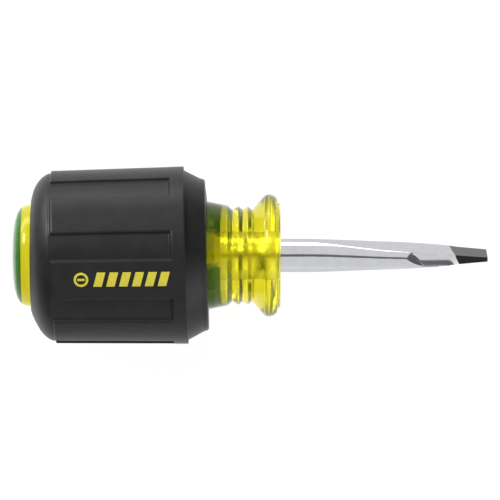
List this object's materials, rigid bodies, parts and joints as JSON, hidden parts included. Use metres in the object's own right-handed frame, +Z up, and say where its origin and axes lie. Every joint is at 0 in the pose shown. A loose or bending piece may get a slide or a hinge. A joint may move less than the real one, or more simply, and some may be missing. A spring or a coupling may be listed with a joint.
{
  "type": "stubby slotted screwdriver",
  "caption": "Stubby slotted screwdriver with a ribbed soft grip sleeve, a clear handle with a grooved neck and a wedge-ground steel blade.",
  "frame": {"origin": "on the resting plane, under the middle of the tool's length", "axes": "+X along the tool's axis towards the tip of the blade, +Z up with the tool lying on its grip sleeve, one slot between two ribs underneath"},
  "size_m": [0.0874, 0.0326, 0.0327],
  "materials": {
    "chrome_steel": "bright chrome plate, black oxide on the last 6 mm of the tip",
    "clear_yellow": "clear yellow cellulose acetate, polished",
    "clear_green": "clear green cellulose acetate, polished",
    "black_vinyl": "matte black vinyl with a fine grain"
  },
  "bodies": {
    "root": {"blade": "chrome_steel", "handle_body": "clear_yellow", "colour_core": "clear_green", "grip_sleeve": "black_vinyl"}
  },
  "joints": []
}
